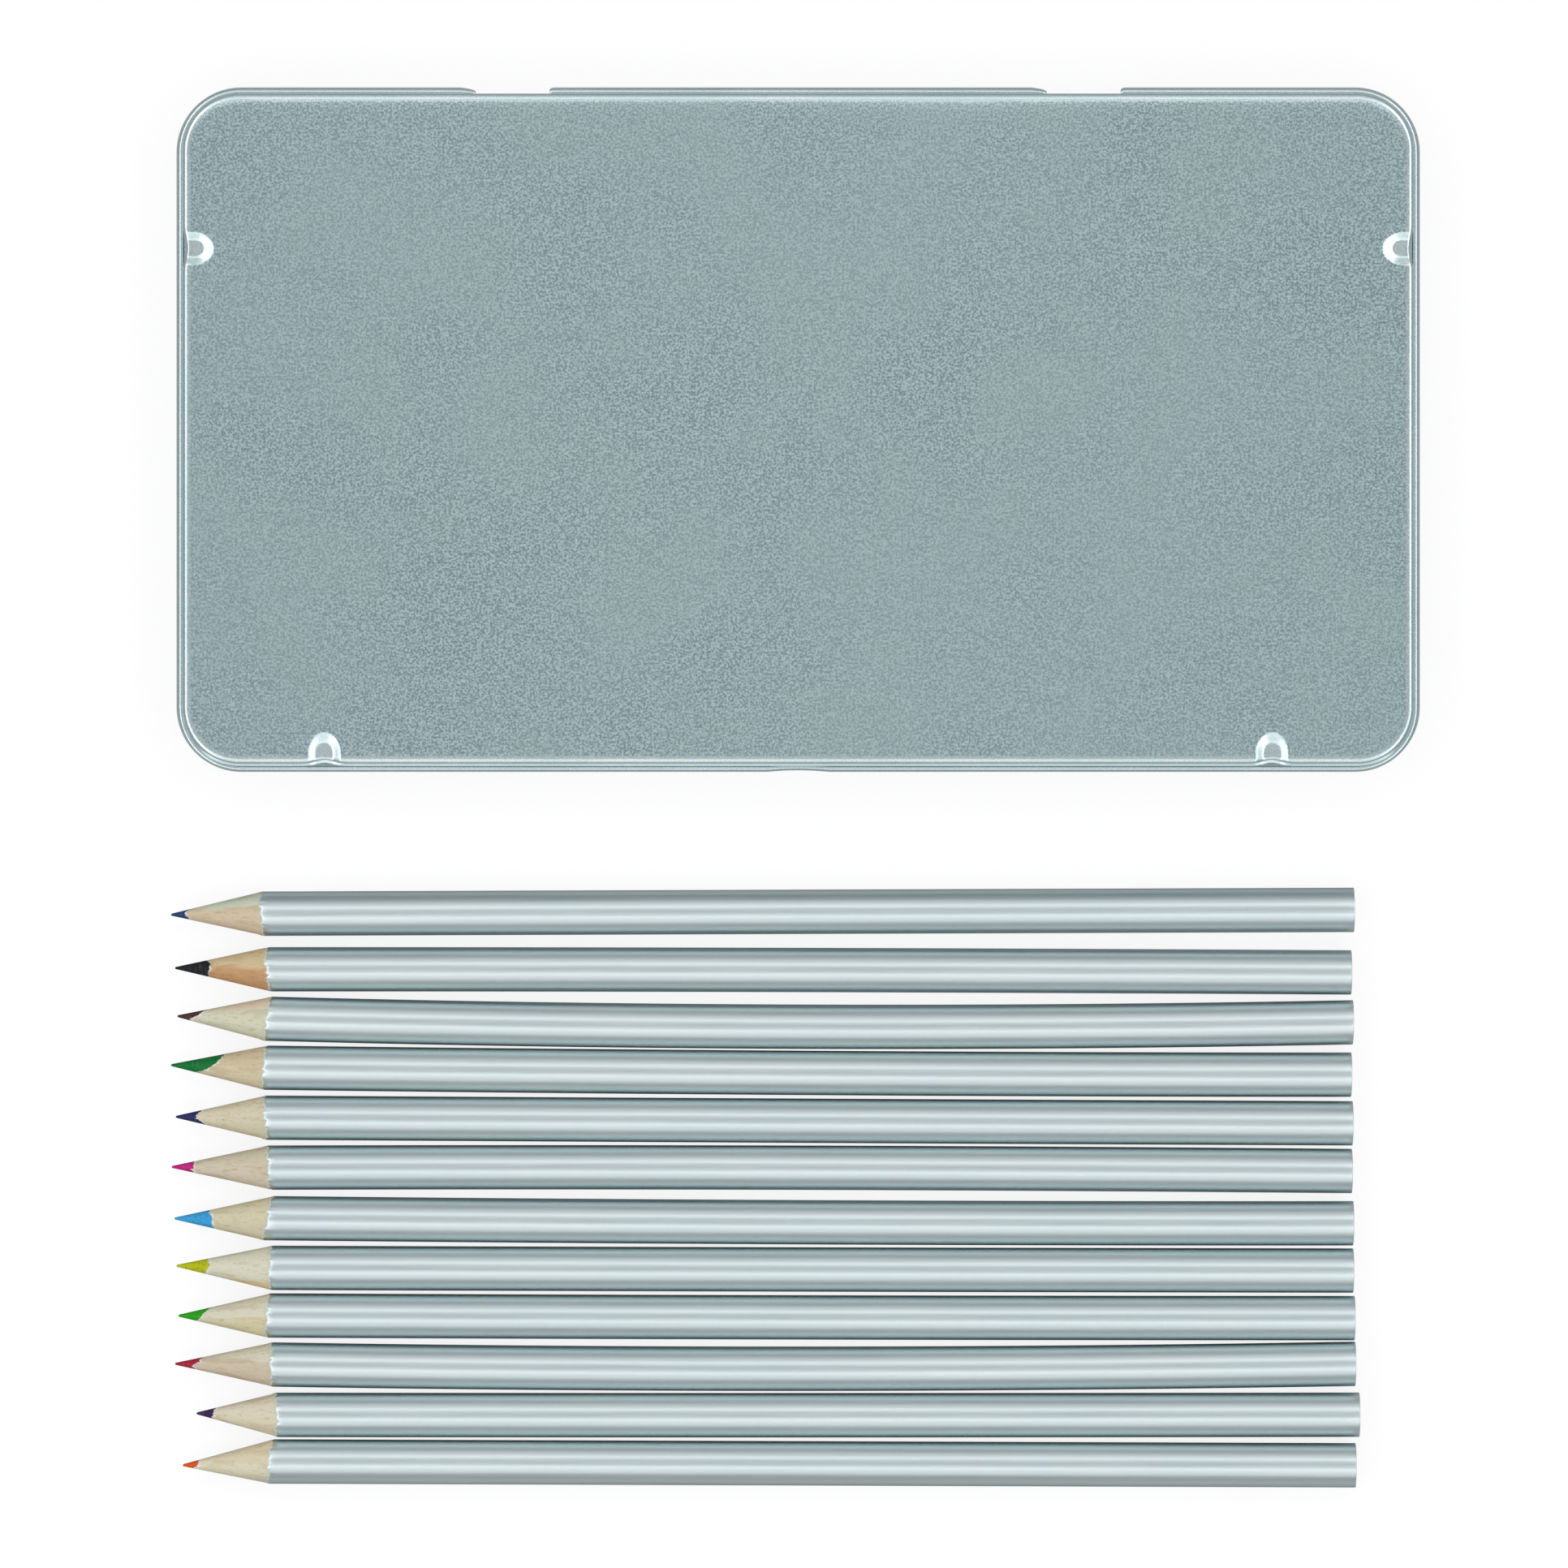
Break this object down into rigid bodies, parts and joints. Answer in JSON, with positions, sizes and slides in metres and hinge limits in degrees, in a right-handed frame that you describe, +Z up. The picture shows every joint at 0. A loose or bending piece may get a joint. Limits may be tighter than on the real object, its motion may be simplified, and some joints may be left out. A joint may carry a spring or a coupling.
{
  "type": "pencil tin",
  "caption": "Flat hinged tin with rounded corners and a grooved tray inside, and a row of round silver colouring pencils laid out in front of it.",
  "frame": {"origin": "middle of the underside of the tin", "axes": "+Z up, +Y towards the hinged back of the tin, +X to the right seen from the front"},
  "size_m": [0.1852, 0.2076, 0.012],
  "materials": {
    "tinplate": "bare tinplate, satin, with a fine mottled grain",
    "tray_plastic": "thin moulded sheet, pale grey",
    "silver_lacquer": "silver lacquer over wood, glossy",
    "wood": "pale softwood, bare where it is sharpened",
    "core_navy": "waxy pigment core",
    "core_black": "waxy pigment core",
    "core_brown": "waxy pigment core",
    "core_green": "waxy pigment core",
    "core_indigo": "waxy pigment core",
    "core_magenta": "waxy pigment core",
    "core_light_blue": "waxy pigment core",
    "core_yellow": "waxy pigment core",
    "core_light_green": "waxy pigment core",
    "core_crimson": "waxy pigment core",
    "core_purple": "waxy pigment core",
    "core_orange": "waxy pigment core"
  },
  "bodies": {
    "tin": {"tin_base": "tinplate", "pencil_tray": "tray_plastic"},
    "lid": {"tin_lid": "tinplate"},
    "pencil_navy": {"pencil_navy_core": "core_navy", "pencil_navy_slat_back": "wood", "pencil_navy_slat_front": "wood", "pencil_navy_lacquer": "silver_lacquer"},
    "pencil_black": {"pencil_black_core": "core_black", "pencil_black_slat_back": "wood", "pencil_black_slat_front": "wood", "pencil_black_lacquer": "silver_lacquer"},
    "pencil_brown": {"pencil_brown_core": "core_brown", "pencil_brown_slat_back": "wood", "pencil_brown_slat_front": "wood", "pencil_brown_lacquer": "silver_lacquer"},
    "pencil_green": {"pencil_green_core": "core_green", "pencil_green_slat_back": "wood", "pencil_green_slat_front": "wood", "pencil_green_lacquer": "silver_lacquer"},
    "pencil_indigo": {"pencil_indigo_core": "core_indigo", "pencil_indigo_slat_back": "wood", "pencil_indigo_slat_front": "wood", "pencil_indigo_lacquer": "silver_lacquer"},
    "pencil_magenta": {"pencil_magenta_core": "core_magenta", "pencil_magenta_slat_back": "wood", "pencil_magenta_slat_front": "wood", "pencil_magenta_lacquer": "silver_lacquer"},
    "pencil_light_blue": {"pencil_light_blue_core": "core_light_blue", "pencil_light_blue_slat_back": "wood", "pencil_light_blue_slat_front": "wood", "pencil_light_blue_lacquer": "silver_lacquer"},
    "pencil_yellow": {"pencil_yellow_core": "core_yellow", "pencil_yellow_slat_back": "wood", "pencil_yellow_slat_front": "wood", "pencil_yellow_lacquer": "silver_lacquer"},
    "pencil_light_green": {"pencil_light_green_core": "core_light_green", "pencil_light_green_slat_back": "wood", "pencil_light_green_slat_front": "wood", "pencil_light_green_lacquer": "silver_lacquer"},
    "pencil_crimson": {"pencil_crimson_core": "core_crimson", "pencil_crimson_slat_back": "wood", "pencil_crimson_slat_front": "wood", "pencil_crimson_lacquer": "silver_lacquer"},
    "pencil_purple": {"pencil_purple_core": "core_purple", "pencil_purple_slat_back": "wood", "pencil_purple_slat_front": "wood", "pencil_purple_lacquer": "silver_lacquer"},
    "pencil_orange": {"pencil_orange_core": "core_orange", "pencil_orange_slat_back": "wood", "pencil_orange_slat_front": "wood", "pencil_orange_lacquer": "silver_lacquer"}
  },
  "joints": [
    {"name": "lid_hinge", "type": "hinge", "parent": "tin", "child": "lid", "pos_m": [0, 0.04865, 0.00515], "axis": [-1, 0, 0], "range_deg": [0, 110]},
    {"name": "lift_navy", "type": "slide", "parent": "tin", "child": "pencil_navy", "axis": [0, 0, 1], "range_m": [0, 0.04]},
    {"name": "lift_black", "type": "slide", "parent": "tin", "child": "pencil_black", "axis": [0, 0, 1], "range_m": [0, 0.04]},
    {"name": "lift_brown", "type": "slide", "parent": "tin", "child": "pencil_brown", "axis": [0, 0, 1], "range_m": [0, 0.04]},
    {"name": "lift_green", "type": "slide", "parent": "tin", "child": "pencil_green", "axis": [0, 0, 1], "range_m": [0, 0.04]},
    {"name": "lift_indigo", "type": "slide", "parent": "tin", "child": "pencil_indigo", "axis": [0, 0, 1], "range_m": [0, 0.04]},
    {"name": "lift_magenta", "type": "slide", "parent": "tin", "child": "pencil_magenta", "axis": [0, 0, 1], "range_m": [0, 0.04]},
    {"name": "lift_light_blue", "type": "slide", "parent": "tin", "child": "pencil_light_blue", "axis": [0, 0, 1], "range_m": [0, 0.04]},
    {"name": "lift_yellow", "type": "slide", "parent": "tin", "child": "pencil_yellow", "axis": [0, 0, 1], "range_m": [0, 0.04]},
    {"name": "lift_light_green", "type": "slide", "parent": "tin", "child": "pencil_light_green", "axis": [0, 0, 1], "range_m": [0, 0.04]},
    {"name": "lift_crimson", "type": "slide", "parent": "tin", "child": "pencil_crimson", "axis": [0, 0, 1], "range_m": [0, 0.04]},
    {"name": "lift_purple", "type": "slide", "parent": "tin", "child": "pencil_purple", "axis": [0, 0, 1], "range_m": [0, 0.04]},
    {"name": "lift_orange", "type": "slide", "parent": "tin", "child": "pencil_orange", "axis": [0, 0, 1], "range_m": [0, 0.04]}
  ]
}
